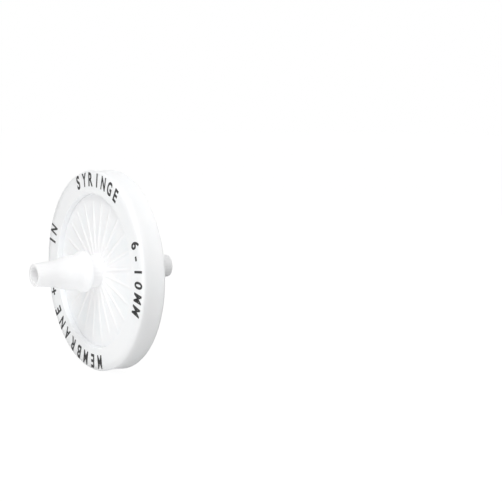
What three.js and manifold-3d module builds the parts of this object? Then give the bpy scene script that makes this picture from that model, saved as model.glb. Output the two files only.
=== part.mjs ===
// In-line disc filter with a stepped hose barb on each side, in millimetres, +Z up.
//
// Two moulded shells clamp a membrane between two support discs, and a moulded band wraps the
// shells' edges. The flow axis is Y: fluid comes in through the barb on -Y and leaves through
// the barb on +Y. The origin is the centre of the membrane.

import * as THREE from "three";
import { mergeVertices } from "three/addons/utils/BufferGeometryUtils.js";
import Module from "manifold-3d";

// ---- Driving dimensions ----

// Thicknesses along the flow axis, counted from the membrane outwards.
const MEMBRANE_THICKNESS = 0.2;
const SUPPORT_THICKNESS = 0.3;
const PLENUM_DEPTH = 0.65; // open space between a support disc and the shell's wall
const SHELL_WALL = 1.0;
const LIP_DEPTH = 1.7; // how far the band's lip stands proud of the shell's face

// Widths across the disc, counted from the membrane's edge outwards.
const MEMBRANE_DIAMETER = 50.0;
const FIT_CLEARANCE = 0.3; // radial gap around the membrane stack and around the shells
const WELD_WIDTH = 2.7; // where the two shells meet face to face
const BAND_WALL = 2.7;
const SEAT_WIDTH = 2.0; // ring of each shell that clamps the membrane stack
const FACE_WIDTH = 7.1; // from the band's outer wall in to its lip, on each face

// Rounding of the band.
const BAND_CORNER = 0.7;
const BAND_WAIST = 0.2; // how far the middle of the band's outer wall sinks in
const LIP_DRAFT = 0.3; // how far the lip's inner wall leans over its height

// Stepped hose barb, counted from the shell's face out to the tip.
const BORE_DIAMETER = 5.0;
const NECK_RADIUS = 4.9;
const NECK_LENGTH = 4.25;
const NECK_FILLET = 0.8;
const SHOULDER_LENGTH = 0.3;
const COLLAR_RADIUS = 6.4;
const COLLAR_LENGTH = 1.0;
const COLLAR_CONE_LENGTH = 1.6;
const STEP_BASE_RADIUS = 5.4;
const STEP_LENGTH = 3.8;
const STEP_RADIUS = 5.1;
const STEP_CONE_LENGTH = 4.0;
const TUBE_BASE_RADIUS = 4.0;
const TUBE_LENGTH = 6.3;
const TIP_RADIUS = 3.5;
const TIP_ROUNDING = 0.3;

// Radial ribs on each shell's outer face.
const FACE_RIB_COUNT = 24;
const FACE_RIB_WIDTH = 0.7;
const FACE_RIB_ROOT_HEIGHT = 0.5;
const FACE_RIB_END_HEIGHT = 0.12;
const FACE_RIB_END_GAP = 1.7; // from the rib's outer end to the band's lip

// Radial ribs in each plenum, which the support disc rests on.
const PLENUM_RIB_COUNT = 12;
const PLENUM_RIB_WIDTH = 0.9;
const PLENUM_RIB_BORE_GAP = 1.5;
const PLENUM_RIB_SEAT_GAP = 1.5;

// A rib runs this far into the wall that it grows from.
const RIB_ROOT_DEPTH = 0.4;

// Facets around a full turn and in a quarter round.
const TURN_FACETS = 48;
const CORNER_FACETS = 3;
const WAIST_FACETS = 6;

// Vertices nearer than this are one vertex.
const MERGE_TOLERANCE = 1e-5;

// ---- Sizes that follow ----

const membraneRadius = MEMBRANE_DIAMETER / 2;
const pocketRadius = membraneRadius + FIT_CLEARANCE;
const shellRadius = pocketRadius + WELD_WIDTH;
const channelRadius = shellRadius + FIT_CLEARANCE;
const rimRadius = channelRadius + BAND_WALL;
const lipRadius = rimRadius - FACE_WIDTH;
const lipFootRadius = lipRadius - LIP_DRAFT;
const plenumRadius = membraneRadius - SEAT_WIDTH;
const boreRadius = BORE_DIAMETER / 2;

const seatHeight = MEMBRANE_THICKNESS / 2 + SUPPORT_THICKNESS;
const ceilingHeight = seatHeight + PLENUM_DEPTH;
const faceHeight = ceilingHeight + SHELL_WALL;
const rimHeight = faceHeight + LIP_DEPTH;

const neckEnd = faceHeight + NECK_LENGTH;
const collarStart = neckEnd + SHOULDER_LENGTH;
const collarEnd = collarStart + COLLAR_LENGTH;
const stepStart = collarEnd + COLLAR_CONE_LENGTH;
const stepEnd = stepStart + STEP_LENGTH;
const tubeStart = stepEnd + STEP_CONE_LENGTH;
const tipHeight = tubeStart + TUBE_LENGTH;

// ---- Outline and solid helpers ----

/** A point of a turned outline: its distance from the flow axis and its height along it. */
function at(radius, height) {
  return new THREE.Vector2(radius, height);
}

/** Points of a circular arc, both ends included, with its angles in degrees. */
function arc(centre, radius, fromDegrees, toDegrees, facets) {
  const points = [];
  for (let i = 0; i <= facets; i += 1) {
    const angle = THREE.MathUtils.degToRad(fromDegrees + ((toDegrees - fromDegrees) * i) / facets);
    points.push(at(centre.x + radius * Math.cos(angle), centre.y + radius * Math.sin(angle)));
  }
  return points;
}

/** Turns an outline about the flow axis; a ring's outline is closed on itself first. */
function turned(outline, isRing) {
  const points = isRing ? [...outline, outline[0].clone()] : outline;
  const lathe = new THREE.LatheGeometry(points, TURN_FACETS);
  lathe.deleteAttribute("normal");
  lathe.deleteAttribute("uv");
  return mergeVertices(lathe, MERGE_TOLERANCE);
}

const manifold = await Module();
manifold.setup();

/** Makes a solid for joining and cutting from a closed geometry. */
function toSolid(geometry) {
  const bare = geometry.clone();
  bare.deleteAttribute("normal");
  bare.deleteAttribute("uv");
  const merged = mergeVertices(bare, MERGE_TOLERANCE);
  const mesh = new manifold.Mesh({
    numProp: 3,
    vertProperties: new Float32Array(merged.attributes.position.array),
    triVerts: new Uint32Array(merged.index.array),
  });
  return new manifold.Manifold(mesh);
}

/** Turns a solid back into a geometry. */
function toGeometry(solid) {
  const mesh = solid.getMesh();
  const geometry = new THREE.BufferGeometry();
  geometry.setAttribute("position", new THREE.BufferAttribute(mesh.vertProperties, 3));
  geometry.setIndex(new THREE.BufferAttribute(mesh.triVerts, 1));
  return geometry;
}

/** A bar whose side view is the given outline, centred on the radial plane at an angle. */
function radialBar(sideView, width, angle) {
  const bar = new THREE.ExtrudeGeometry(new THREE.Shape(sideView), { depth: width, bevelEnabled: false });
  bar.translate(0, 0, -width / 2);
  bar.rotateY(angle);
  return toSolid(bar);
}

/** Adds a ring of equally spaced radial bars to a body, the first half a pitch from X. */
function withRadialBars(body, sideView, width, count) {
  const pitch = (2 * Math.PI) / count;
  let joined = body;
  for (let i = 0; i < count; i += 1) {
    joined = joined.add(radialBar(sideView, width, (i + 0.5) * pitch));
  }
  return joined;
}

// ---- Outlines of the turned bodies ----

/** The barb's outer outline from the shell's face to the tip. */
function barbOutline() {
  const filletCentre = at(NECK_RADIUS + NECK_FILLET, faceHeight + NECK_FILLET);
  const tipCentre = at(TIP_RADIUS - TIP_ROUNDING, tipHeight - TIP_ROUNDING);
  return [
    ...arc(filletCentre, NECK_FILLET, 270, 180, CORNER_FACETS),
    at(NECK_RADIUS, neckEnd),
    at(COLLAR_RADIUS, collarStart),
    at(COLLAR_RADIUS, collarEnd),
    at(STEP_BASE_RADIUS, stepStart),
    at(STEP_RADIUS, stepEnd),
    at(TUBE_BASE_RADIUS, tubeStart),
    ...arc(tipCentre, TIP_ROUNDING, 0, 90, CORNER_FACETS),
  ];
}

/** One shell, drawn with its barb towards +Y and its weld face at height 0. */
function shellOutline() {
  return [
    at(pocketRadius, 0),
    at(shellRadius, 0),
    at(shellRadius, faceHeight),
    ...barbOutline(),
    at(boreRadius, tipHeight),
    at(boreRadius, ceilingHeight),
    at(plenumRadius, ceilingHeight),
    at(plenumRadius, seatHeight),
    at(pocketRadius, seatHeight),
  ];
}

/** The band: a channel around the shells' edges, with a lip on each face. */
function bandOutline() {
  const cornerRadius = rimRadius - BAND_CORNER;
  const cornerHeight = rimHeight - BAND_CORNER;
  const waist = [];
  for (let i = 1; i < WAIST_FACETS; i += 1) {
    const along = (2 * i) / WAIST_FACETS - 1;
    waist.push(at(rimRadius - BAND_WAIST * (1 - along * along), along * cornerHeight));
  }
  return [
    at(lipFootRadius, -faceHeight),
    at(lipRadius, -rimHeight),
    ...arc(at(cornerRadius, -cornerHeight), BAND_CORNER, -90, 0, CORNER_FACETS),
    ...waist,
    ...arc(at(cornerRadius, cornerHeight), BAND_CORNER, 0, 90, CORNER_FACETS),
    at(lipRadius, rimHeight),
    at(lipFootRadius, faceHeight),
    at(channelRadius, faceHeight),
    at(channelRadius, -faceHeight),
  ];
}

/** A flat disc between two heights. */
function discOutline(radius, low, high) {
  return [at(0, low), at(radius, low), at(radius, high), at(0, high)];
}

// ---- Bodies ----

/** One shell with its barb, its face ribs and its plenum ribs, barb towards +Y. */
function shellGeometry() {
  const faceRib = [
    at(NECK_RADIUS - RIB_ROOT_DEPTH, faceHeight - RIB_ROOT_DEPTH),
    at(lipFootRadius - FACE_RIB_END_GAP, faceHeight - RIB_ROOT_DEPTH),
    at(lipFootRadius - FACE_RIB_END_GAP, faceHeight + FACE_RIB_END_HEIGHT),
    at(NECK_RADIUS - RIB_ROOT_DEPTH, faceHeight + FACE_RIB_ROOT_HEIGHT),
  ];
  const plenumRib = [
    at(boreRadius + PLENUM_RIB_BORE_GAP, seatHeight),
    at(plenumRadius - PLENUM_RIB_SEAT_GAP, seatHeight),
    at(plenumRadius - PLENUM_RIB_SEAT_GAP, ceilingHeight + RIB_ROOT_DEPTH),
    at(boreRadius + PLENUM_RIB_BORE_GAP, ceilingHeight + RIB_ROOT_DEPTH),
  ];
  const body = toSolid(turned(shellOutline(), true));
  const faced = withRadialBars(body, faceRib, FACE_RIB_WIDTH, FACE_RIB_COUNT);
  return toGeometry(withRadialBars(faced, plenumRib, PLENUM_RIB_WIDTH, PLENUM_RIB_COUNT));
}

/** The same moulding turned half way round Z, so that its barb points towards -Y. */
function facingInlet(geometry) {
  return geometry.clone().applyMatrix4(new THREE.Matrix4().makeScale(-1, -1, 1));
}

// ---- Materials ----

const shellPlastic = new THREE.MeshStandardMaterial({ color: "#e9eef0", roughness: 0.38, metalness: 0 });
const bandPlastic = new THREE.MeshStandardMaterial({ color: "#f4f6f6", roughness: 0.32, metalness: 0 });
const membraneFilm = new THREE.MeshStandardMaterial({ color: "#fbfbf9", roughness: 0.8, metalness: 0 });
const supportFelt = new THREE.MeshStandardMaterial({ color: "#f3f3ef", roughness: 0.9, metalness: 0 });

// ---- Assembly ----

const filter = new THREE.Group();

/** Adds one named piece to the filter. */
function addPiece(name, geometry, material) {
  const piece = new THREE.Mesh(geometry, material);
  piece.name = name;
  filter.add(piece);
}

const membraneFace = MEMBRANE_THICKNESS / 2;
const outletShell = shellGeometry();
const upstreamDisc = turned(discOutline(membraneRadius, -seatHeight, -membraneFace), false);
const membraneDisc = turned(discOutline(membraneRadius, -membraneFace, membraneFace), false);
const downstreamDisc = turned(discOutline(membraneRadius, membraneFace, seatHeight), false);

addPiece("inlet_shell", facingInlet(outletShell), shellPlastic);
addPiece("outlet_shell", outletShell, shellPlastic);
addPiece("rim_band", turned(bandOutline(), true), bandPlastic);
addPiece("upstream_support", upstreamDisc, supportFelt);
addPiece("membrane", membraneDisc, membraneFilm);
addPiece("downstream_support", downstreamDisc, supportFelt);

export default filter;
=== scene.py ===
"""Looks of an in-line disc filter: its mouldings, its print, its finishes and a plain studio.

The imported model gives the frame. Its flow axis is Y, with the inlet barb on -Y, and its origin is
the centre of the membrane. Sizes in this file are in millimetres unless a name says otherwise.
"""

import logging
import math
from dataclasses import dataclass, field
from enum import Enum
from typing import Any, Sequence

import bmesh
import bpy
from mathutils import Matrix, Vector


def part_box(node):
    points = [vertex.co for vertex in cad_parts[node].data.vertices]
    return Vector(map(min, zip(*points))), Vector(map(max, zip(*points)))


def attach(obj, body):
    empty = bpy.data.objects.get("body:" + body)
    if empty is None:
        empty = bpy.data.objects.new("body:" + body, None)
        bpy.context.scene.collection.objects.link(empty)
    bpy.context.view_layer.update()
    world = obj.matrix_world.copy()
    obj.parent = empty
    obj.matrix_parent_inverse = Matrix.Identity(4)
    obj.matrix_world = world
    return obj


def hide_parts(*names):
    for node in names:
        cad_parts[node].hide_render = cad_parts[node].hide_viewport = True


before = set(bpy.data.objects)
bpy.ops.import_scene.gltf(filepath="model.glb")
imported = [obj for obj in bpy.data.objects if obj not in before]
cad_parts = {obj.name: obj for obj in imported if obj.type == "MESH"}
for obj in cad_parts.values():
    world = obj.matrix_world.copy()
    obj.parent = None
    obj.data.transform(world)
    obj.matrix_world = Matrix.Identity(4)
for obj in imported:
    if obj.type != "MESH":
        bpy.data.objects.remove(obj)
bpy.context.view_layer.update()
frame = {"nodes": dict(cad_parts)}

MM = 0.001
FLOW_AXIS = (0.0, 1.0, 0.0)
ACROSS_FLOW = (1.0, 0.0, 1.0)
FULL_TURN = 2 * math.pi

Tree = bpy.types.NodeTree
Socket = bpy.types.NodeSocket

log = logging.getLogger("disc_filter")


class Side(Enum):
    """Which way along the flow axis a shell's barb points."""

    INLET = "inlet"
    OUTLET = "outlet"


class Slot(Enum):
    """Names of the material slots, which the log reports."""

    SHELL = "shell_plastic"
    BAND = "band_plastic"
    MEMBRANE = "membrane_film"
    SUPPORT = "support_felt"
    INK = "print_ink"


# ---- Sizes shared by the pieces ----


@dataclass(frozen=True)
class FilterSizes:
    """Heights along the flow axis and radii across the disc, counted from the membrane's centre.

    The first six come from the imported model's boxes. The rest lie inside the mouldings.
    """

    rim_radius: float
    rim_height: float
    shell_radius: float
    tip_height: float
    membrane_radius: float
    seat_height: float
    plenum_depth: float = 0.65
    shell_wall: float = 1.0
    fit_clearance: float = 0.3
    seat_width: float = 2.0
    face_width: float = 7.1
    lip_draft: float = 0.3

    @classmethod
    def from_frame(cls) -> "FilterSizes":
        """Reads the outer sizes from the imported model.

        Returns:
            The sizes in millimetres.
        """
        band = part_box("rim_band")[1] / MM
        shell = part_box("outlet_shell")[1] / MM
        return cls(
            rim_radius=band.x,
            rim_height=band.y,
            shell_radius=shell.x,
            tip_height=shell.y,
            membrane_radius=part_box("membrane")[1].x / MM,
            seat_height=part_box("downstream_support")[1].y / MM,
        )

    @property
    def ceiling_height(self) -> float:
        """Height of the plenum's ceiling."""
        return self.seat_height + self.plenum_depth

    @property
    def face_height(self) -> float:
        """Height of a shell's outer face."""
        return self.ceiling_height + self.shell_wall

    @property
    def pocket_radius(self) -> float:
        """Radius of the pocket that holds the membrane's edge."""
        return self.membrane_radius + self.fit_clearance

    @property
    def channel_radius(self) -> float:
        """Radius of the band's channel, round the shells' edges."""
        return self.shell_radius + self.fit_clearance

    @property
    def plenum_radius(self) -> float:
        """Radius of the plenum, inside the ring that clamps the membrane."""
        return self.membrane_radius - self.seat_width

    @property
    def lip_radius(self) -> float:
        """Radius of the band's lip at its top."""
        return self.rim_radius - self.face_width

    @property
    def lip_foot_radius(self) -> float:
        """Radius of the band's lip where it meets the shell's face."""
        return self.lip_radius - self.lip_draft


# ---- Turned bodies ----


@dataclass(frozen=True)
class Corner:
    """One corner of a turned outline.

    Attributes:
        radius: Distance from the flow axis.
        height: Place along the flow axis.
        rounding: How far along each side the corner's rounding starts.
        cuts: How many cuts divide the stretch from this corner to the next.
    """

    radius: float
    height: float
    rounding: float = 0.0
    cuts: int = 0

    @property
    def place(self) -> Vector:
        """The corner's place in the plane that is turned."""
        return Vector((self.radius, self.height, 0.0))


ROUNDING_SEGMENTS = 5
COLUMNS = 384
SHARP_DEGREES = 40.0
SAME_PLACE = 1e-3  # two radii or heights nearer than this are one
MERGE_DISTANCE = 1e-4  # two points nearer than this are one


def outline_of(corners: Sequence[Corner]) -> bmesh.types.BMesh:
    """Draws a closed outline, rounds its corners and divides its long stretches.

    Args:
        corners: The outline's corners in order.

    Returns:
        A bmesh with the outline's edges and no face.
    """
    bm = bmesh.new()
    points = [bm.verts.new(corner.place) for corner in corners]
    bm.faces.new(points)
    for corner, point in zip(corners, points):
        if corner.rounding > 0:
            bmesh.ops.bevel(
                bm,
                geom=[point],
                offset=corner.rounding,
                offset_type="OFFSET",
                affect="VERTICES",
                segments=ROUNDING_SEGMENTS,
                profile=0.5,
                material=-1,
                clamp_overlap=False,
            )
    for corner, following in zip(corners, [*corners[1:], corners[0]]):
        if corner.cuts > 0:
            middle = (corner.place + following.place) / 2
            stretch = min(bm.edges, key=lambda edge: (edge_middle(edge) - middle).length)
            bmesh.ops.subdivide_edges(bm, edges=[stretch], cuts=corner.cuts)
    bmesh.ops.delete(bm, geom=bm.faces[:], context="FACES_ONLY")
    return bm


def edge_middle(edge: bmesh.types.BMEdge) -> Vector:
    """The middle of an edge."""
    return (edge.verts[0].co + edge.verts[1].co) / 2


def turn(bm: bmesh.types.BMesh, columns: int = COLUMNS) -> None:
    """Turns an outline once round the flow axis into a closed body.

    Args:
        bm: The outline, which becomes the body.
        columns: How many columns of faces stand round the axis.
    """
    bmesh.ops.spin(
        bm,
        geom=bm.verts[:] + bm.edges[:],
        cent=(0.0, 0.0, 0.0),
        axis=FLOW_AXIS,
        dvec=(0.0, 0.0, 0.0),
        angle=FULL_TURN,
        space=Matrix.Identity(4),
        steps=columns,
        use_merge=True,
        use_normal_flip=False,
        use_duplicate=False,
    )
    bmesh.ops.recalc_face_normals(bm, faces=bm.faces[:])


def add_object(name: str, data: bpy.types.ID) -> bpy.types.Object:
    """Adds an object to the scene.

    Args:
        name: The object's name.
        data: Its mesh, curve, lamp or camera.

    Returns:
        The object, at the origin.
    """
    added = bpy.data.objects.new(name, data)
    bpy.context.scene.collection.objects.link(added)
    return added


def place_piece(bm: bmesh.types.BMesh, name: str) -> bpy.types.Object:
    """Turns a body in millimetres into an object at the origin, in metres.

    Args:
        bm: The finished body, which is freed.
        name: The piece's name.

    Returns:
        The piece, smooth apart from its sharp corners.
    """
    bmesh.ops.scale(bm, vec=(MM, MM, MM), verts=bm.verts[:])
    for face in bm.faces:
        face.smooth = True
    mesh = bpy.data.meshes.new(name)
    bm.to_mesh(mesh)
    bm.free()
    mesh.set_sharp_from_angle(angle=math.radians(SHARP_DEGREES))
    piece = add_object(name, mesh)
    flat_faces = piece.modifiers.new("flat_faces", "WEIGHTED_NORMAL")
    flat_faces.keep_sharp = True
    return piece


def declare(
    piece: bpy.types.Object, material: bpy.types.Material, slot: Slot, *nodes: str
) -> None:
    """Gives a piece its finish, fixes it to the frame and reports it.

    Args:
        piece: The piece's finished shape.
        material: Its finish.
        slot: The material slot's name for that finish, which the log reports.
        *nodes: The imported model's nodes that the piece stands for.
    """
    piece.data.materials.append(material)
    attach(piece, "root")
    if nodes:
        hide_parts(*nodes)
    log.info("%s: %d faces, %s", piece.name, len(piece.data.polygons), slot.value)


# ---- Node helpers ----


def linear(hex_colour: str) -> tuple[float, float, float, float]:
    """Turns an sRGB hex colour into the linear colour that a socket takes.

    Args:
        hex_colour: Such as "#e9eef0".

    Returns:
        Red, green, blue and an alpha of 1.
    """
    channels = []
    for start in (1, 3, 5):
        value = int(hex_colour[start : start + 2], 16) / 255
        channels.append(value / 12.92 if value <= 0.04045 else ((value + 0.055) / 1.055) ** 2.4)
    return (channels[0], channels[1], channels[2], 1.0)


def add_node(
    tree: Tree,
    kind: str,
    sockets: dict[Any, Any] | None = None,
    **settings: Any,
) -> bpy.types.Node:
    """Adds a node with its settings and links.

    Args:
        tree: The tree that gets the node.
        kind: The node's type, such as "ShaderNodeMath".
        sockets: Values by input name or number; an output socket is linked.
        **settings: The node's own properties.

    Returns:
        The node.
    """
    node = tree.nodes.new(kind)
    for name, value in settings.items():
        setattr(node, name, value)
    for key, value in (sockets or {}).items():
        if isinstance(value, Socket):
            tree.links.new(value, node.inputs[key])
        else:
            node.inputs[key].default_value = value
    return node


def add_range(
    tree: Tree,
    value: Socket,
    source: tuple[float, float],
    target: tuple[Any, Any],
    **settings: Any,
) -> Socket:
    """Maps one range of values onto another and holds what lies outside at the ends.

    Args:
        tree: The tree.
        value: The value that is mapped.
        source: Where the first range starts and ends.
        target: Where the second starts and ends, each a number or a socket.
        **settings: The node's own properties.

    Returns:
        The mapped value.
    """
    ends = {"From Min": source[0], "From Max": source[1], "To Min": target[0], "To Max": target[1]}
    node = add_node(tree, "ShaderNodeMapRange", {"Value": value, **ends}, **settings)
    return node.outputs["Result"]


def add_noise(
    tree: Tree, place: Socket, size: float, detail: float = 2.0, roughness: float = 0.5
) -> Socket:
    """Adds an uneven pattern.

    Args:
        tree: The tree.
        place: The place on the piece, in metres.
        size: Size of the pattern's features.
        detail: How many finer layers it has.
        roughness: How strong the finer layers are.

    Returns:
        A value about 0.5.
    """
    shape = {"Scale": 1 / (size * MM), "Detail": detail, "Roughness": roughness}
    return add_node(tree, "ShaderNodeTexNoise", {"Vector": place, **shape}).outputs["Fac"]


def add_colour(tree: Tree, share: Socket, first: str, second: str) -> Socket:
    """Mixes two colours.

    Args:
        tree: The tree.
        share: The second colour's share.
        first: An sRGB hex colour.
        second: Another.

    Returns:
        The mixed colour.
    """
    parts = {"Factor": share, "A": linear(first), "B": linear(second)}
    return add_node(tree, "ShaderNodeMix", parts, data_type="RGBA").outputs["Result"]


def add_across(tree: Tree, place: Socket) -> Socket:
    """Adds the part of a place that lies across the flow axis, as a vector."""
    across = {0: place, 1: ACROSS_FLOW}
    return add_node(tree, "ShaderNodeVectorMath", across, operation="MULTIPLY").outputs["Vector"]


def add_radius(tree: Tree, place: Socket) -> Socket:
    """Adds a place's distance from the flow axis."""
    across = {0: add_across(tree, place)}
    return add_node(tree, "ShaderNodeVectorMath", across, operation="LENGTH").outputs["Value"]


def add_height(tree: Tree, place: Socket) -> Socket:
    """Adds a place's distance from the membrane's middle plane."""
    parts = add_node(tree, "ShaderNodeSeparateXYZ", {"Vector": place})
    height = {0: parts.outputs["Y"]}
    return add_node(tree, "ShaderNodeMath", height, operation="ABSOLUTE").outputs["Value"]


def new_material(name: str) -> tuple[bpy.types.Material, Tree]:
    """Makes an empty node material.

    Args:
        name: The finish's name.

    Returns:
        The material and its node tree.
    """
    material = bpy.data.materials.new(name)
    material.use_nodes = True
    material.node_tree.nodes.clear()
    return material, material.node_tree


# ---- Finishes ----

BEVEL_SAMPLES = 8
ROUGHNESS_SWING = 0.04  # how far the mould's grain moves the roughness, each way
GRAIN_RANGE = (0.3, 0.7)  # the pattern's values between which the grain shows
CLOUD_RANGE = (0.35, 0.65)  # the same for the clouds and the flow lines


@dataclass(frozen=True)
class MouldedPolypropylene:
    """Injection-moulded polypropylene: milky, nearly matt, with a faint cloudiness.

    Light that enters the plastic beside an edge leaves on its other side. The eye sees that as soft
    shading with no crisp edge, which the normals blended across each edge give.

    Attributes:
        name: The material's name.
        thin: Colour where light passes a thin wall, so that it looks greyer and a little blue.
        milky: Colour where the wall is thick and scatters all light back.
        roughness: Middle roughness of the moulded skin.
        scatter_share: The share of the light that enters the plastic before it comes back.
        scatter_depth: How far that light spreads inside the plastic.
        blend_width: How far the shading of one side of an edge runs on over the other side.
        cloud_size: Size of the faint clouds in the melt.
        cloud_share: How far the clouds move the colour from thin to milky.
        grain_size: Grain of the mould's polish, drawn as coarse as it needs to show.
        grain_depth: Height of that grain.
        refraction: The plastic's refractive index.
        shine: Strength of its mirrored light.
    """

    name: str
    thin: str
    milky: str
    roughness: float = 0.5
    scatter_share: float = 0.8
    scatter_depth: float = 0.2
    blend_width: float = 0.25
    cloud_size: float = 7.0
    cloud_share: float = 0.35
    grain_size: float = 0.35
    grain_depth: float = 0.004
    refraction: float = 1.49
    shine: float = 0.35

    def build(self) -> bpy.types.Material:
        """Builds the material.

        Returns:
            The finished material.
        """
        material, tree = new_material(self.name)
        place = add_node(tree, "ShaderNodeTexCoord").outputs["Object"]
        grain = add_noise(tree, place, self.grain_size, detail=3.0, roughness=0.55)
        radius = {"Radius": self.blending(tree, place)}
        soft = add_node(tree, "ShaderNodeBevel", radius, samples=BEVEL_SAMPLES)
        relief = add_node(
            tree,
            "ShaderNodeBump",
            {
                "Height": grain,
                "Strength": 1.0,
                "Distance": self.grain_depth * MM,
                "Normal": soft.outputs["Normal"],
            },
        )
        gloss = (self.roughness - ROUGHNESS_SWING, self.roughness + ROUGHNESS_SWING)
        surface = add_node(
            tree,
            "ShaderNodeBsdfPrincipled",
            {
                "Base Color": add_colour(
                    tree, self.milkiness(tree, place), self.thin, self.milky
                ),
                "Roughness": add_range(tree, grain, GRAIN_RANGE, gloss),
                "IOR": self.refraction,
                "Specular IOR Level": self.shine,
                "Subsurface Weight": self.scatter_share,
                "Subsurface Radius": self.scattering(tree, place),
                "Subsurface Scale": MM,
                "Normal": relief.outputs["Normal"],
            },
        )
        add_node(tree, "ShaderNodeOutputMaterial", {"Surface": surface.outputs["BSDF"]})
        return material

    def blending(self, tree: Tree, place: Socket) -> Any:
        """How far the light on one side of an edge blends into the other side, in metres.

        Args:
            tree: The material's tree, which is not used here.
            place: The place on the piece, in metres, which is not used here.

        Returns:
            The value or the socket for the bevelled normal's radius.
        """
        return self.blend_width * MM

    def scattering(self, tree: Tree, place: Socket) -> Any:
        """How far light spreads inside the plastic, in millimetres for red, green and blue.

        Args:
            tree: The material's tree, which is not used here.
            place: The place on the piece, in metres, which is not used here.

        Returns:
            The value or the socket for the subsurface radius.
        """
        return (self.scatter_depth,) * 3

    def milkiness(self, tree: Tree, place: Socket) -> Socket:
        """Adds the pattern that says how milky the plastic is.

        Args:
            tree: The material's tree.
            place: The place on the piece, in metres.

        Returns:
            A socket from 0, thin, to 1, milky.
        """
        clouds = add_noise(tree, place, self.cloud_size)
        ends = (0.5 - self.cloud_share / 2, 0.5 + self.cloud_share / 2)
        return add_range(tree, clouds, CLOUD_RANGE, ends)


@dataclass(frozen=True)
class GatedPolypropyleneWithPaintedGlow(MouldedPolypropylene):
    """Polypropylene that was gated at its middle, painted whiter round the hub and along its ribs.

    The whiteness round the hub is partly the thick barb's own milkiness and partly a painted glow
    that spreads over the thin face and into the bore; the whiter rib crests are painted highlights,
    so the ribs show as white lines on the greyer wall.

    Attributes:
        hub_start: Radius out to which the painted glow round the hub is full.
        hub_end: Radius where the painted glow has faded to the thin wall's own tone.
        face_height: Height of the thin wall's face, above which the ribs stand.
        rib_height: Height over the face at which a rib's painted highlight is full.
        barb_height: Height over the face from which light spreads as far as it does in the barb.
        barb_depth: How far light spreads inside the barb.
        flow_share: How far the flow lines move the colour.
        flow_lines: How closely they follow each other round the axis.
        hub_glow_share: How much whiter the painted glow makes the hub.
        rib_highlight_share: How much whiter the painted highlight makes a rib's crest.
    """

    hub_start: float = 6.0
    hub_end: float = 13.0
    face_height: float = 2.6
    rib_height: float = 0.35
    barb_height: float = 3.0
    barb_depth: float = 4.0
    flow_share: float = 0.12
    flow_lines: float = 16.0
    hub_glow_share: float = 0.75
    rib_highlight_share: float = 0.5

    def scattering(self, tree: Tree, place: Socket) -> Any:
        """How far light spreads: further in the barb, which stands in the light on all sides.

        Args:
            tree: The material's tree.
            place: The place on the piece, in metres.

        Returns:
            The socket for the subsurface radius.
        """
        start = (self.face_height + self.rib_height) * MM
        end = (self.face_height + self.barb_height) * MM
        depths = (self.scatter_depth, self.barb_depth)
        return add_range(tree, add_height(tree, place), (start, end), depths)

    def milkiness(self, tree: Tree, place: Socket) -> Socket:
        """Adds the painted glow round the hub, the painted highlights on the ribs and the flow
        lines to the clouds.

        Args:
            tree: The material's tree.
            place: The place on the piece, in metres.

        Returns:
            A socket from 0, thin, to 1, milky.
        """
        # Painted glow: the plastic is painted whiter round the hub and through the barb, fading out
        # by hub_end.
        hub = add_range(
            tree,
            add_radius(tree, place),
            (self.hub_start * MM, self.hub_end * MM),
            (self.hub_glow_share, 0.0),
            interpolation_type="SMOOTHERSTEP",
        )
        # Painted highlight: the rib crests are painted whiter than the face they stand on.
        ribs = add_range(
            tree,
            add_height(tree, place),
            (self.face_height * MM, (self.face_height + self.rib_height) * MM),
            (0.0, self.rib_highlight_share),
        )
        across = {0: add_across(tree, place)}
        direction = add_node(tree, "ShaderNodeVectorMath", across, operation="NORMALIZE")
        lines = add_node(
            tree,
            "ShaderNodeTexNoise",
            {
                "Vector": direction.outputs["Vector"],
                "Scale": self.flow_lines,
                "Detail": 2.0,
                "Roughness": 0.5,
            },
        )
        swing = (-self.flow_share / 2, self.flow_share / 2)
        flow = add_range(tree, lines.outputs["Fac"], CLOUD_RANGE, swing)
        total = super().milkiness(tree, place)
        for extra in (hub, ribs, flow):
            total = add_node(tree, "ShaderNodeMath", {0: total, 1: extra}).outputs["Value"]
        return add_node(tree, "ShaderNodeClamp", {"Value": total}).outputs["Result"]


@dataclass(frozen=True)
class OvermouldedPolypropylene(MouldedPolypropylene):
    """Thick white polypropylene, softly shaded round its outer edges and crisp at its thin lip.

    Attributes:
        lip_end: Radius out to which the lip is thin.
        wall_start: Radius from which the band is thick.
        lit_width: How far the shading runs on over the thick part's edge on the inlet side.
        far_width: The same on the outlet side.
        turn_start: Height along the flow axis where the first of these widths ends.
        turn_end: Height where the second starts.
    """

    lip_end: float = 24.5
    wall_start: float = 27.5
    lit_width: float = 4.0
    far_width: float = 0.7
    turn_start: float = -1.5
    turn_end: float = 2.5

    def blending(self, tree: Tree, place: Socket) -> Any:
        """How far light blends round an edge, growing from the lip to the outer wall.

        Args:
            tree: The material's tree.
            place: The place on the piece, in metres.

        Returns:
            The socket for the bevelled normal's radius.
        """
        parts = add_node(tree, "ShaderNodeSeparateXYZ", {"Vector": place})
        wall = add_range(
            tree,
            parts.outputs["Y"],
            (self.turn_start * MM, self.turn_end * MM),
            (self.lit_width * MM, self.far_width * MM),
        )
        return add_range(
            tree,
            add_radius(tree, place),
            (self.lip_end * MM, self.wall_start * MM),
            (self.blend_width * MM, wall),
        )


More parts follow.
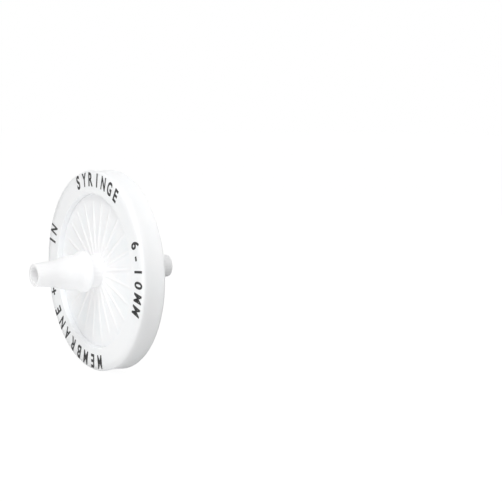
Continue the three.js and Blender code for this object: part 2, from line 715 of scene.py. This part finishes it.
@dataclass(frozen=True)
class FibrousWhite:
    """A white porous sheet: cast membrane film or non-woven felt, matt and finely uneven.

    Attributes:
        name: The material's name.
        light: Colour of the fibres.
        dark: Colour between the fibres.
        fibre_size: Spacing of the fibres, drawn as coarse as it needs to show.
        relief_depth: Height of the fibres.
        stretch: How many times longer than wide the pattern is across the sheet.
        roughness: Roughness of the sheet.
    """

    name: str
    light: str
    dark: str
    fibre_size: float
    relief_depth: float
    stretch: float = 1.0
    roughness: float = 0.85

    def build(self) -> bpy.types.Material:
        """Builds the material.

        Returns:
            The finished material.
        """
        material, tree = new_material(self.name)
        coordinates = add_node(tree, "ShaderNodeTexCoord")
        mapping = add_node(
            tree,
            "ShaderNodeMapping",
            {"Vector": coordinates.outputs["Object"], "Scale": (1.0, 1.0, 1 / self.stretch)},
        )
        fibres = add_noise(tree, mapping.outputs["Vector"], self.fibre_size, detail=4.0)
        relief = add_node(
            tree,
            "ShaderNodeBump",
            {"Height": fibres, "Strength": 1.0, "Distance": self.relief_depth * MM},
        )
        surface = add_node(
            tree,
            "ShaderNodeBsdfPrincipled",
            {
                "Base Color": add_colour(tree, fibres, self.dark, self.light),
                "Roughness": self.roughness,
                "Normal": relief.outputs["Normal"],
            },
        )
        add_node(tree, "ShaderNodeOutputMaterial", {"Surface": surface.outputs["BSDF"]})
        return material


@dataclass(frozen=True)
class PadPrintInk:
    """Pad-printed ink: a thin, nearly black film that is a little patchy where it wetted less.

    Attributes:
        name: The material's name.
        full: Colour of the full film.
        worn: Colour where the film is thin.
        patch_size: Size of the thin patches.
        roughness: Roughness of the dried film.
    """

    name: str = "pad_print_ink"
    full: str = "#050506"
    worn: str = "#16171a"
    patch_size: float = 0.8
    roughness: float = 0.5

    def build(self) -> bpy.types.Material:
        """Builds the material.

        Returns:
            The finished material.
        """
        material, tree = new_material(self.name)
        place = add_node(tree, "ShaderNodeTexCoord").outputs["Object"]
        patches = add_noise(tree, place, self.patch_size)
        colour = add_colour(tree, patches, self.full, self.worn)
        film = {"Base Color": colour, "Roughness": self.roughness}
        surface = add_node(tree, "ShaderNodeBsdfPrincipled", film)
        add_node(tree, "ShaderNodeOutputMaterial", {"Surface": surface.outputs["BSDF"]})
        return material


# ---- Shells ----


@dataclass(frozen=True)
class RibRing:
    """Equal radial ribs round a turned face, the first half a pitch from X.

    Attributes:
        count: How many ribs there are.
        offsets: Places of the columns of vertices across half a rib, from its centre line out.
        shares: The share of the rib's height at each of those places.
    """

    count: int
    offsets: tuple[float, ...]
    shares: tuple[float, ...]

    def column(self, index: int, radius: float) -> tuple[float, float]:
        """Places one column of vertices, so that a rib is as wide at its end as at its root.

        Args:
            index: The column's number round the axis.
            radius: The radius at which it is placed.

        Returns:
            The column's angle round the axis, and the share of the rib's height there.
        """
        pitch = COLUMNS // self.count
        half_pitch = pitch // 2
        half_sector = math.pi / self.count
        rib, step = divmod(index, pitch)
        out = abs(step - half_pitch)
        last = len(self.offsets) - 1
        foot = self.offsets[last] / radius
        if out <= last:
            swing, share = self.offsets[out] / radius, self.shares[out]
        else:
            swing, share = foot + (half_sector - foot) * (out - last) / (half_pitch - last), 0.0
        centre = (2 * rib + 1) * half_sector
        return centre + math.copysign(swing, step - half_pitch), share


@dataclass
class Shell:
    """One moulded half of the housing, with its stepped barb, face ribs and plenum ribs."""

    side: Side
    sizes: FilterSizes
    neck_radius: float = 4.9
    neck_length: float = 4.25
    neck_fillet: float = 0.8
    shoulder_length: float = 0.3
    collar_radius: float = 6.4
    collar_length: float = 1.0
    collar_cone_length: float = 1.6
    step_base_radius: float = 5.4
    step_length: float = 3.8
    step_radius: float = 5.1
    step_cone_length: float = 4.0
    tube_base_radius: float = 4.0
    tip_radius: float = 3.5
    bore_radius: float = 2.5
    edge_rounding: float = 0.25
    neck_end_rounding: float = 0.12
    face_ribs: RibRing = RibRing(24, (0.0, 0.15, 0.3, 0.45, 0.65), (1.0, 0.93, 0.68, 0.28, 0.0))
    rib_root_radius: float = 4.5
    rib_root_height: float = 0.5
    rib_end_height: float = 0.12
    rib_end_gap: float = 1.7
    rib_fade: float = 1.2
    plenum_ribs: RibRing = RibRing(12, (0.0, 0.2, 0.38, 0.45, 0.52), (1.0, 1.0, 1.0, 0.6, 0.0))
    plenum_rib_gap: float = 1.5
    plenum_rib_wall: float = 0.1

    @property
    def node(self) -> str:
        """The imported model's node that this shell stands for."""
        return f"{self.side.value}_shell"

    @property
    def rib_end_radius(self) -> float:
        """Radius where the face ribs end."""
        return self.sizes.lip_foot_radius - self.rib_end_gap

    def outline(self) -> list[Corner]:
        """The corners of the shell's section, barb towards +Y."""
        sizes, edge = self.sizes, self.edge_rounding
        face, ceiling, seat = sizes.face_height, sizes.ceiling_height, sizes.seat_height
        neck_end = face + self.neck_length
        collar_start = neck_end + self.shoulder_length
        collar_end = collar_start + self.collar_length
        step_start = collar_end + self.collar_cone_length
        step_end = step_start + self.step_length
        tube_start = step_end + self.step_cone_length
        plenum_rib_start = self.bore_radius + self.plenum_rib_gap
        plenum_rib_end = sizes.plenum_radius - self.plenum_rib_gap
        return [
            Corner(sizes.pocket_radius, 0.0),
            Corner(sizes.shell_radius, 0.0),
            Corner(sizes.shell_radius, face),
            Corner(sizes.lip_foot_radius, face),
            Corner(self.rib_end_radius, face, cuts=5),
            Corner(self.rib_end_radius - self.rib_fade, face, cuts=23),
            Corner(self.neck_radius, face, rounding=self.neck_fillet, cuts=2),
            Corner(self.neck_radius, neck_end, rounding=self.neck_end_rounding),
            Corner(self.collar_radius, collar_start, rounding=edge / 2),
            Corner(self.collar_radius, collar_end, rounding=edge),
            Corner(self.step_base_radius, step_start, rounding=edge, cuts=3),
            Corner(self.step_radius, step_end, rounding=edge, cuts=3),
            Corner(self.tube_base_radius, tube_start, rounding=2 * edge, cuts=5),
            Corner(self.tip_radius, sizes.tip_height, rounding=edge),
            Corner(self.bore_radius, sizes.tip_height, rounding=edge / 2, cuts=8),
            Corner(self.bore_radius, ceiling, rounding=edge),
            Corner(plenum_rib_start - self.plenum_rib_wall, ceiling),
            Corner(plenum_rib_start, ceiling, cuts=15),
            Corner(plenum_rib_end, ceiling),
            Corner(plenum_rib_end + self.plenum_rib_wall, ceiling),
            Corner(sizes.plenum_radius, ceiling, rounding=edge),
            Corner(sizes.plenum_radius, seat),
            Corner(sizes.pocket_radius, seat),
        ]

    def raise_ribs(self, bm: bmesh.types.BMesh) -> None:
        """Moves the columns of vertices onto the ribs' lines and raises the ribs.

        Args:
            bm: The turned shell, barb towards +Y.
        """
        sizes = self.sizes
        plenum_rib_start = self.bore_radius + self.plenum_rib_gap
        plenum_rib_end = sizes.plenum_radius - self.plenum_rib_gap
        rise = self.rib_end_height - self.rib_root_height
        slope = rise / (self.rib_end_radius - self.rib_root_radius)
        for vert in bm.verts:
            radius = math.hypot(vert.co.x, vert.co.z)
            angle = math.atan2(-vert.co.z, vert.co.x) % FULL_TURN
            index = round(angle / FULL_TURN * COLUMNS) % COLUMNS
            height = vert.co.y
            if height > sizes.face_height - SAME_PLACE:
                angle, share = self.face_ribs.column(index, max(radius, self.neck_radius))
                fade = min(max((self.rib_end_radius - radius) / self.rib_fade, 0.0), 1.0)
                crest = self.rib_root_height + slope * (radius - self.rib_root_radius)
                top = sizes.face_height + crest * fade * (2 - fade)
                if radius > self.neck_radius - SAME_PLACE:
                    height += max(top - height, 0.0) * share
            else:
                angle, share = self.plenum_ribs.column(index, max(radius, plenum_rib_start))
                on_rib = plenum_rib_start - SAME_PLACE < radius < plenum_rib_end + SAME_PLACE
                if on_rib and abs(height - sizes.ceiling_height) < SAME_PLACE:
                    height -= sizes.plenum_depth * share
            vert.co = (radius * math.cos(angle), height, -radius * math.sin(angle))

    def build(self) -> bpy.types.Object:
        """Builds the shell, on its own side of the membrane.

        Returns:
            The piece.
        """
        bm = outline_of(self.outline())
        turn(bm)
        self.raise_ribs(bm)
        if self.side is Side.INLET:
            half_turn = Matrix.Rotation(math.pi, 3, "Z")
            bmesh.ops.rotate(bm, cent=(0.0, 0.0, 0.0), matrix=half_turn, verts=bm.verts[:])
        return place_piece(bm, f"{self.side.value}_housing")


# ---- Band ----


@dataclass
class RimBand:
    """The band that is moulded round both shells' edges, with a lip on each face."""

    sizes: FilterSizes
    corner_rounding: float = 0.8
    lip_rounding: float = 0.15
    waist_depth: float = 0.2
    waist_cuts: int = 15

    def outline(self) -> list[Corner]:
        """The corners of the band's section."""
        sizes = self.sizes
        face, rim = sizes.face_height, sizes.rim_height
        foot, channel = sizes.lip_foot_radius, sizes.channel_radius
        return [
            Corner(foot, -face),
            Corner(sizes.lip_radius, -rim, rounding=self.lip_rounding, cuts=7),
            Corner(sizes.rim_radius, -rim, rounding=self.corner_rounding, cuts=self.waist_cuts),
            Corner(sizes.rim_radius, rim, rounding=self.corner_rounding / 2, cuts=7),
            Corner(sizes.lip_radius, rim, rounding=self.lip_rounding),
            Corner(foot, face),
            Corner(channel, face),
            Corner(channel, -face),
        ]

    def sink_waist(self, bm: bmesh.types.BMesh) -> None:
        """Pulls the middle of the outer wall in, as the thick plastic shrank.

        Args:
            bm: The band's outline.
        """
        half_wall = self.sizes.rim_height - self.corner_rounding
        for vert in bm.verts:
            if abs(vert.co.x - self.sizes.rim_radius) < MERGE_DISTANCE:
                along = vert.co.y / half_wall
                vert.co.x -= self.waist_depth * max(1 - along * along, 0.0)

    def build(self) -> bpy.types.Object:
        """Builds the band.

        Returns:
            The piece.
        """
        bm = outline_of(self.outline())
        self.sink_waist(bm)
        turn(bm)
        return place_piece(bm, "overmoulded_band")


# ---- Print ----


@dataclass(frozen=True)
class PrintedWord:
    """A word printed round the band's face, its letters' tops outwards.

    Attributes:
        text: The letters.
        first_degrees: Where the first letter stands, clockwise from the top as seen on the inlet.
        last_degrees: Where the last letter stands.
    """

    text: str
    first_degrees: float
    last_degrees: float

    def letters(self) -> list[tuple[str, float]]:
        """The letters with their angles in radians, spaces left out."""
        gaps = max(len(self.text) - 1, 1)
        spacing = (self.last_degrees - self.first_degrees) / gaps
        placed = [(self.first_degrees + spacing * i, letter) for i, letter in enumerate(self.text)]
        return [(letter, math.radians(degrees)) for degrees, letter in placed if letter != " "]


@dataclass
class RimPrint:
    """The print on the inlet face of the band: what it is, which side, and the tubing that fits.

    Attributes:
        sizes: The filter's sizes.
        words: The words round the face.
        letter_height: Height of a letter.
        outer_gap: Gap between the letters' tops and the band's edge.
        width_share: How wide a letter is as a share of the font's width.
        letter_width: The widest that a letter may be.
        stroke_gain: How far the ink spread past the strokes' edges.
        film_thickness: How far the ink stands over the band.
        sunk_depth: How far the ink's body reaches into the band, so that no gap shows.
        font_cap_share: Height of a capital as a share of the font's size.
        curve_steps: How many straight stretches make up each curved one of a letter.
    """

    sizes: FilterSizes
    words: tuple[PrintedWord, ...] = (
        PrintedWord("SYRINGE", -19.0, 31.0),
        PrintedWord("6-10MM", 68.0, 108.0),
        PrintedWord("MEMBRANE", 170.0, 236.0),
        PrintedWord("+", 249.5, 249.5),
        PrintedWord("IN", 284.0, 292.0),
    )
    letter_height: float = 4.2
    outer_gap: float = 0.6
    width_share: float = 0.78
    letter_width: float = 2.7
    stroke_gain: float = 0.18
    film_thickness: float = 0.02
    sunk_depth: float = 0.01
    font_cap_share: float = 0.729
    curve_steps: int = 6

    def letter(self, character: str) -> bmesh.types.BMesh:
        """Cuts one letter out of the ink film, flat in XY and centred on X.

        Args:
            character: The letter.

        Returns:
            The letter's closed body in millimetres.
        """
        curve = bpy.data.curves.new("letter", "FONT")
        curve.body = character
        curve.size = self.letter_height / self.font_cap_share
        curve.resolution_u = self.curve_steps
        curve.offset = self.stroke_gain
        curve.extrude = (self.film_thickness + self.sunk_depth) / 2
        scratch = add_object("letter", curve)
        shaped = scratch.evaluated_get(bpy.context.evaluated_depsgraph_get())
        mesh = bpy.data.meshes.new_from_object(shaped)
        bm = bmesh.new()
        bm.from_mesh(mesh)
        bpy.data.objects.remove(scratch)
        bpy.data.curves.remove(curve)
        bpy.data.meshes.remove(mesh)
        bmesh.ops.remove_doubles(bm, verts=bm.verts[:], dist=MERGE_DISTANCE)
        sides = [vert.co.x for vert in bm.verts]
        bmesh.ops.translate(bm, vec=(-(min(sides) + max(sides)) / 2, 0.0, 0.0), verts=bm.verts[:])
        share = min(self.width_share, self.letter_width / (max(sides) - min(sides)))
        bmesh.ops.scale(bm, vec=(share, 1.0, 1.0), verts=bm.verts[:])
        return bm

    def build(self) -> bpy.types.Object:
        """Builds all the print as one ink film on the band's inlet face.

        Returns:
            The piece.
        """
        whole = bmesh.new()
        foot_radius = self.sizes.rim_radius - self.outer_gap - self.letter_height
        middle = self.sizes.rim_height + (self.film_thickness - self.sunk_depth) / 2
        standing = Matrix.Rotation(math.pi / 2, 4, "X")
        upright = Matrix.Translation((0.0, -middle, foot_radius)) @ standing
        for word in self.words:
            for character, angle in word.letters():
                bm = self.letter(character)
                placed = Matrix.Rotation(angle, 4, "Y") @ upright
                bmesh.ops.transform(bm, matrix=placed, verts=bm.verts[:])
                mesh = bpy.data.meshes.new("letter")
                bm.to_mesh(mesh)
                bm.free()
                whole.from_mesh(mesh)
                bpy.data.meshes.remove(mesh)
        bmesh.ops.recalc_face_normals(whole, faces=whole.faces[:])
        return place_piece(whole, "inlet_print")


# ---- Membrane and supports ----


@dataclass
class MembraneStack:
    """The membrane between its two support discs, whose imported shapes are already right."""

    nodes: dict[str, bpy.types.Object] = field(default_factory=lambda: frame["nodes"])

    def dress(self, film: bpy.types.Material, felt: bpy.types.Material) -> None:
        """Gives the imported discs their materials.

        Args:
            film: The membrane's material.
            felt: The support discs' material.
        """
        finishes = {
            "membrane": (film, Slot.MEMBRANE),
            "upstream_support": (felt, Slot.SUPPORT),
            "downstream_support": (felt, Slot.SUPPORT),
        }
        for name, (material, slot) in finishes.items():
            piece = self.nodes[name]
            piece.data.materials.clear()
            piece.data.materials.append(material)
            log.info("%s: packed shape, %s", name, slot.value)


# ---- Studio ----


@dataclass(frozen=True)
class Softbox:
    """A round soft lamp aimed at the filter.

    Attributes:
        name: The lamp's name.
        direction: Where it stands as seen from the filter.
        distance: How far away it stands.
        width: Its diameter.
        power: Its power in watts.
    """

    name: str
    direction: tuple[float, float, float]
    distance: float
    width: float
    power: float

    def build(self) -> None:
        """Places the lamp."""
        lamp = bpy.data.lights.new(self.name, "AREA")
        lamp.shape = "DISK"
        lamp.size = self.width * MM
        lamp.energy = self.power
        stand = add_object(self.name, lamp)
        towards = Vector(self.direction).normalized()
        stand.location = towards * self.distance * MM
        stand.rotation_mode = "QUATERNION"
        stand.rotation_quaternion = (-towards).to_track_quat("-Z", "Y")


@dataclass
class Studio:
    """A floor under the rim, soft lamps near the filter and a sky that is brighter on one side.

    Attributes:
        sizes: The filter's sizes, which say how low the floor lies.
        floor_half_width: Half the floor's width.
        floor_colour: Colour of the card on the floor.
        floor_glow: Light that the floor in front of the filter gives the filter from below.
        glow_across: Places across the flow axis where that light starts and where it is full.
        glow_along: Places along the flow axis where it starts and where it is full.
        seen_glow: White that the camera sees in the floor, so that the floor meets the sky.
        shadow_share: The share of the card's own shading that the camera sees in the floor.
        sky_level: Middle brightness of the sky as a source of light.
        sky_slope: How much brighter the sky is towards its bright side.
        sky_bright_side: The direction in which the sky is brightest.
        lamps: The lamps, one in front of the filter and one behind it.
    """

    sizes: FilterSizes
    floor_half_width: float = 4000.0
    floor_colour: str = "#969696"
    floor_glow: float = 0.79
    glow_across: tuple[float, float] = (-280.0, 0.0)
    glow_along: tuple[float, float] = (8.0, -12.0)
    seen_glow: float = 1.54
    shadow_share: float = 0.4
    sky_level: float = 0.65
    sky_slope: float = 0.44
    sky_bright_side: tuple[float, float, float] = (0.98, -0.20, 0.0)
    lamps: tuple[Softbox, ...] = (
        Softbox("key_softbox", (0.32, -0.42, 0.68), 300.0, 180.0, 0.30),
        Softbox("back_softbox", (-0.35, 0.90, 0.27), 620.0, 300.0, 1.2),
    )

    def build(self) -> None:
        """Builds the floor, the sky and the lamps."""
        self.build_floor()
        self.build_sky()
        for lamp in self.lamps:
            lamp.build()
        bpy.context.scene.view_settings.view_transform = "Standard"

    def build_floor(self) -> None:
        """Lays a matt floor that the rim stands on."""
        bm = bmesh.new()
        bmesh.ops.create_grid(bm, x_segments=1, y_segments=1, size=self.floor_half_width * MM)
        drop = (0.0, 0.0, -self.sizes.rim_radius * MM)
        bmesh.ops.translate(bm, vec=drop, verts=bm.verts[:])
        mesh = bpy.data.meshes.new("floor")
        bm.to_mesh(mesh)
        bm.free()
        floor = add_object("floor", mesh)
        floor.data.materials.append(self.floor_material())

    def floor_material(self) -> bpy.types.Material:
        """Matt card whose part in front of the filter glows, a painted pool of light that lights
        the filter from below; the camera sees the floor white with a faint shadow on it.

        Returns:
            The material.
        """
        material, tree = new_material("white_card")
        card = add_node(tree, "ShaderNodeBsdfDiffuse", {"Color": linear(self.floor_colour)})
        place = add_node(tree, "ShaderNodeTexCoord")
        parts = add_node(tree, "ShaderNodeSeparateXYZ", {"Vector": place.outputs["Object"]})
        # Painted light: the floor glows in front of the filter and not behind it, for every ray but
        # the camera's.
        glow: Any = self.floor_glow
        for axis, (dark, bright) in (("X", self.glow_across), ("Y", self.glow_along)):
            ends = (dark * MM, bright * MM)
            glow = add_range(tree, parts.outputs[axis], ends, (0.0, glow))
        front = add_node(tree, "ShaderNodeEmission", {"Strength": glow})
        both_lights = {0: card.outputs["BSDF"], 1: front.outputs["Emission"]}
        lit = add_node(tree, "ShaderNodeAddShader", both_lights)
        white = add_node(tree, "ShaderNodeEmission", {"Strength": self.seen_glow})
        shown = add_node(
            tree,
            "ShaderNodeMixShader",
            {"Fac": 1 - self.shadow_share, 1: card.outputs["BSDF"], 2: white.outputs["Emission"]},
        )
        path = add_node(tree, "ShaderNodeLightPath")
        both = add_node(
            tree,
            "ShaderNodeMixShader",
            {
                "Fac": seen_directly(tree, path),
                1: lit.outputs["Shader"],
                2: shown.outputs["Shader"],
            },
        )
        add_node(tree, "ShaderNodeOutputMaterial", {"Surface": both.outputs["Shader"]})
        return material

    def build_sky(self) -> None:
        """Makes a sky that looks plain white, seen or mirrored, and lights one side more."""
        world = bpy.data.worlds.new("white_sky")
        world.use_nodes = True
        tree = world.node_tree
        tree.nodes.clear()
        path = add_node(tree, "ShaderNodeLightPath")
        direction = add_node(tree, "ShaderNodeTexCoord")
        towards = add_node(
            tree,
            "ShaderNodeVectorMath",
            {0: direction.outputs["Generated"], 1: self.sky_bright_side},
            operation="DOT_PRODUCT",
        )
        light = add_node(
            tree,
            "ShaderNodeMath",
            {0: towards.outputs["Value"], 1: self.sky_slope, 2: self.sky_level},
            operation="MULTIPLY_ADD",
        )
        ends = (light.outputs["Value"], 1.0)
        level = add_range(tree, seen_directly(tree, path), (0.0, 1.0), ends)
        sky = add_node(tree, "ShaderNodeBackground", {"Strength": level})
        sky.inputs["Color"].default_value = (1.0, 1.0, 1.0, 1.0)
        add_node(tree, "ShaderNodeOutputWorld", {"Surface": sky.outputs["Background"]})
        bpy.context.scene.world = world


def seen_directly(tree: Tree, path: bpy.types.Node) -> Socket:
    """Adds what is 1 for a ray from the camera, a mirrored ray or a ray through glass.

    Args:
        tree: The tree.
        path: The tree's Light Path node.

    Returns:
        A socket that is 0 or 1.
    """
    total = path.outputs["Is Camera Ray"]
    for kind in ("Is Glossy Ray", "Is Transmission Ray"):
        pair = {0: total, 1: path.outputs[kind]}
        total = add_node(tree, "ShaderNodeMath", pair, operation="MAXIMUM").outputs["Value"]
    return total


@dataclass(frozen=True)
class Viewpoint:
    """The camera's place and aim.

    Attributes:
        distance: From the filter's centre.
        azimuth: Round Z from the inlet's side, in degrees.
        elevation: Above the horizon, in degrees.
        lens: Focal length.
        clip_start: Nearest distance that the camera sees.
        sensor: Width of the picture behind the lens.
        left_share: How far left of the picture's middle the filter's centre shows.
        down_share: How far below the picture's middle it shows. Both are shares of its width.
    """

    distance: float = 361.4
    azimuth: float = 61.52
    elevation: float = 7.71
    lens: float = 82.85
    clip_start: float = 10.0
    sensor: float = 36.0
    left_share: float = 0.2948
    down_share: float = 0.0380

    def build(self) -> None:
        """Places the camera and makes it the scene's own."""
        azimuth, elevation = math.radians(self.azimuth), math.radians(self.elevation)
        level = math.cos(elevation)
        away = Vector((math.sin(azimuth) * level, -math.cos(azimuth) * level, math.sin(elevation)))
        at_filter = (-away).to_track_quat("-Z", "Y")
        left, down = self.left_share * self.sensor, self.down_share * self.sensor
        shown_at = Vector((-left, -down, -self.lens))
        turned_aside = shown_at.rotation_difference(Vector((0.0, 0.0, -1.0)))
        data = bpy.data.cameras.new("camera")
        data.sensor_width = self.sensor
        data.lens = self.lens
        data.clip_start = self.clip_start * MM
        camera = add_object("camera", data)
        camera.location = away * self.distance * MM
        camera.rotation_mode = "QUATERNION"
        camera.rotation_quaternion = at_filter @ turned_aside
        bpy.context.scene.camera = camera


# ---- Assembly ----


def main() -> None:
    """Builds the filter's pieces in order and sets up the studio."""
    logging.basicConfig(level=logging.INFO, format="%(name)s: %(message)s")
    sizes = FilterSizes.from_frame()
    Viewpoint().build()

    # The milky colour is also the colour of the painted glow round the hub and of the painted
    # highlights on the ribs.
    shell_plastic = GatedPolypropyleneWithPaintedGlow(
        name="moulded_natural_polypropylene",
        thin="#eff4f9",
        milky="#fbfbfc",
        face_height=sizes.face_height,
    ).build()
    band_plastic = OvermouldedPolypropylene(
        name="overmoulded_white_polypropylene",
        thin="#f2f4f8",
        milky="#f7f8fa",
        blend_width=0.05,
    ).build()

    for side in Side:
        shell = Shell(side, sizes)
        declare(shell.build(), shell_plastic, Slot.SHELL, shell.node)
    declare(RimBand(sizes).build(), band_plastic, Slot.BAND, "rim_band")
    declare(RimPrint(sizes).build(), PadPrintInk().build(), Slot.INK)
    MembraneStack().dress(
        film=FibrousWhite("cast_membrane_film", "#fcfcfa", "#f1f1ee", 0.12, 0.01).build(),
        felt=FibrousWhite("non_woven_polypropylene", "#f8f8f4", "#dededa", 0.3, 0.05, 4.0).build(),
    )

    Studio(sizes).build()


if __name__ == "__main__":
    main()
